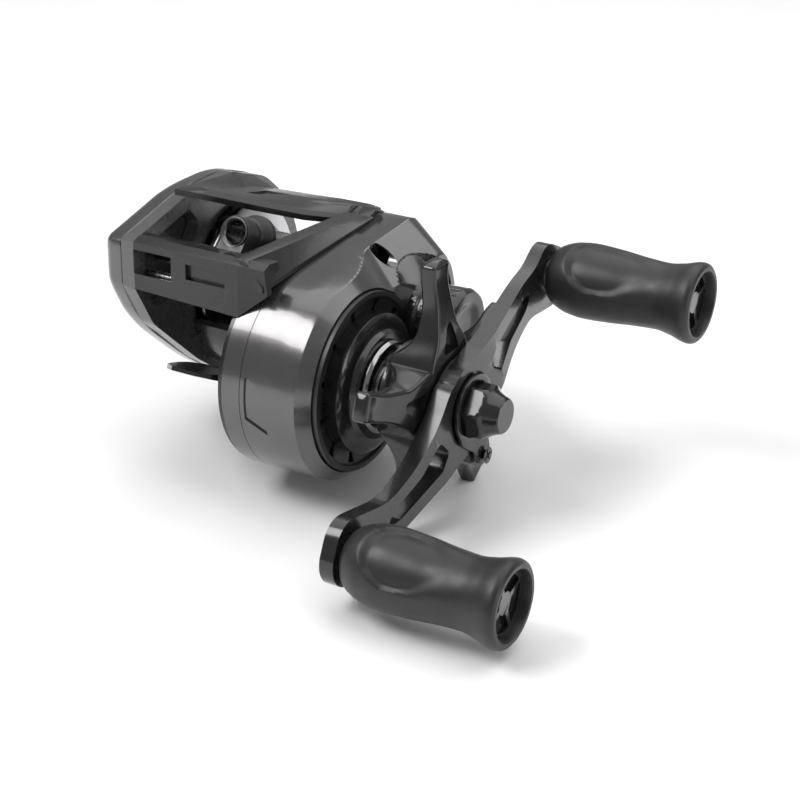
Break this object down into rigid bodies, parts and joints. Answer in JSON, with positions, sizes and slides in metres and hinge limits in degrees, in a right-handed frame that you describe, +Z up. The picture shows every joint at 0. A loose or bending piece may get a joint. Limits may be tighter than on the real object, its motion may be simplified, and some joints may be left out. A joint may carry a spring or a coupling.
{
  "type": "baitcasting reel",
  "caption": "Low-profile fishing reel with a geared spool, level-wind line guide, star drag, cast controls and a double-ended handle with two free-turning grips.",
  "frame": {"origin": "centre of the overall box, at the level of the table that the reel lies on", "axes": "+X along the spool and handle axes towards the handle, +Y away from the side where the line leaves, +Z up from the table; the foot is pitched 26 degrees nose-up about X, as the reel lies at rest"},
  "size_m": [0.1126, 0.0956, 0.0572],
  "materials": {
    "frame": "satin",
    "cover": "satin",
    "black": "satin",
    "grip": "matte",
    "cap": "gloss",
    "foot": "satin",
    "silver": "satin",
    "steel": "satin",
    "chrome": "polished",
    "brass": "satin",
    "dark_plastic": "satin",
    "cog_plastic": "satin",
    "carbon": "matte",
    "magnet": "satin"
  },
  "bodies": {
    "frame": {"frame": "frame", "hood": "frame", "reel_foot": "foot", "foot_screws": "steel", "gear_side_plate": "cover", "gear_side_cover": "cover", "cover_screws": "black", "cover_ring": "dark_plastic", "hub_boss": "black", "anti_reverse_bearing": "steel", "seal_ring": "chrome", "worm_tube": "silver", "guide_pillar": "steel", "worm_bushing": "cog_plastic", "drive_shaft_bearing": "steel", "pinion_bearing": "steel", "spool_bearing_gear_side": "steel"},
    "tension_knob": {"tension_knob": "black", "tension_washer": "brass"},
    "spool": {"spool": "silver", "spool_shaft": "steel", "shaft_pin": "steel", "brake_rotor": "silver"},
    "pinion": {"pinion": "brass"},
    "yoke": {"yoke": "dark_plastic"},
    "thumb_bar": {"thumb_bar": "black", "clutch_cam": "steel"},
    "worm": {"worm_shaft": "steel", "worm_gear": "cog_plastic"},
    "idler": {"idler_gear": "cog_plastic"},
    "line_guide": {"line_guide": "dark_plastic", "guide_insert": "chrome", "guide_pawl": "steel"},
    "crank": {"drive_shaft": "steel", "drive_gear": "brass", "level_wind_cog": "cog_plastic", "drag_washers": "carbon", "drag_plates": "steel", "pressure_plate": "steel", "drag_sleeve": "steel", "spring_washers": "steel", "handle_arm": "black", "handle_nut": "black", "nut_retainer": "black", "retainer_screw": "black", "knob_posts": "steel", "knob_screws": "steel"},
    "star_drag": {"star_drag": "black", "star_nut": "brass"},
    "far_knob": {"far_knob": "grip", "far_knob_cap": "cap", "far_knob_bearings": "steel"},
    "near_knob": {"near_knob": "grip", "near_knob_cap": "cap", "near_knob_bearings": "steel"},
    "palm_plate": {"palm_plate": "cover", "spool_bearing_palm_side": "steel"},
    "brake_dial": {"brake_dial": "dark_plastic"},
    "brake_magnets": {"magnet_ring": "dark_plastic", "brake_magnets": "magnet"}
  },
  "joints": [
    {"name": "crank_spin", "type": "hinge", "parent": "frame", "child": "crank", "pos_m": [0.0013, 0, 0.02445], "axis": [1, 0, 0], "continuous": true},
    {"name": "star_turn", "type": "hinge", "parent": "crank", "child": "star_drag", "pos_m": [0.0183, 0, 0.02445], "axis": [1, 0, 0], "range_deg": [-180, 180]},
    {"name": "far_knob_spin", "type": "hinge", "parent": "crank", "child": "far_knob", "pos_m": [0.0393, 0.03952, 0.03868], "axis": [1, 0, 0], "continuous": true},
    {"name": "near_knob_spin", "type": "hinge", "parent": "crank", "child": "near_knob", "pos_m": [0.0393, -0.03952, 0.01023], "axis": [1, 0, 0], "continuous": true},
    {"name": "spool_spin", "type": "hinge", "parent": "frame", "child": "spool", "pos_m": [-0.0297, 0.02163, 0.03084], "axis": [1, 0, 0], "continuous": true},
    {"name": "worm_spin", "type": "hinge", "parent": "frame", "child": "worm", "pos_m": [-0.0297, -0.00473, 0.04556], "axis": [1, 0, 0], "continuous": true},
    {"name": "idler_spin", "type": "hinge", "parent": "frame", "child": "idler", "pos_m": [-0.0177, -0.00735, 0.03695], "axis": [1, 0, 0], "continuous": true},
    {"name": "guide_travel", "type": "slide", "parent": "frame", "child": "line_guide", "axis": [1, 0, 0], "range_m": [-0.0125, 0.0012]},
    {"name": "tension_turn", "type": "hinge", "parent": "frame", "child": "tension_knob", "pos_m": [0.0073, 0.02163, 0.03084], "axis": [1, 0, 0], "range_deg": [-360, 360]},
    {"name": "thumb_press", "type": "slide", "parent": "frame", "child": "thumb_bar", "axis": [0, -0.4384, -0.8988], "range_m": [0, 0.004], "stiffness_N_per_m": 150, "springref_m": -0.002},
    {"name": "pinion_shift", "type": "slide", "parent": "spool", "child": "pinion", "axis": [1, 0, 0], "range_m": [0, 0.0014]},
    {"name": "yoke_shift", "type": "slide", "parent": "frame", "child": "yoke", "axis": [1, 0, 0], "range_m": [0, 0.0014]},
    {"name": "palm_plate_off", "type": "slide", "parent": "frame", "child": "palm_plate", "axis": [-1, 0, 0], "range_m": [0, 0.03]},
    {"name": "brake_turn", "type": "hinge", "parent": "palm_plate", "child": "brake_dial", "pos_m": [-0.0537, 0.02163, 0.03084], "axis": [1, 0, 0], "range_deg": [0, 270]},
    {"name": "magnet_shift", "type": "slide", "parent": "palm_plate", "child": "brake_magnets", "axis": [1, 0, 0], "range_m": [-0.0014, 0]}
  ],
  "couplings": [
    {"joint": "spool_spin", "follows": "crank_spin", "ratio": -7.2},
    {"joint": "idler_spin", "follows": "crank_spin", "ratio": -1.6364},
    {"joint": "worm_spin", "follows": "crank_spin", "ratio": 2.5714},
    {"joint": "pinion_shift", "follows": "thumb_press", "ratio": 0.35},
    {"joint": "yoke_shift", "follows": "thumb_press", "ratio": 0.35},
    {"joint": "magnet_shift", "follows": "brake_turn", "m_per_rad": -0.00029709}
  ]
}
